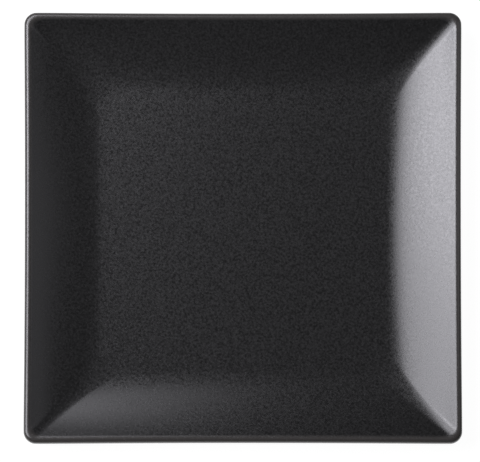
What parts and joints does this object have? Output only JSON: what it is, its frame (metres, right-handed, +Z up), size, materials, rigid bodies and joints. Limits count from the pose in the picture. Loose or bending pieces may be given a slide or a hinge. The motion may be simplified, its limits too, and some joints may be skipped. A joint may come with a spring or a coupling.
{
  "type": "square dinner plate",
  "caption": "Square coupe dinner plate with a flat well, wide curved walls mitred at the corners, a narrow rounded lip and a low foot ring, in matte black glaze.",
  "frame": {"origin": "middle of the foot ring's standing face, on the table", "axes": "+Z up out of the well, +X and +Y along the sides of the square"},
  "size_m": [0.26, 0.26, 0.0206],
  "materials": {
    "bare_clay": "matte",
    "black_glaze": "satin"
  },
  "bodies": {
    "root": {"stoneware_body": "bare_clay", "outer_glaze": "black_glaze", "recess_glaze": "black_glaze"}
  },
  "joints": []
}
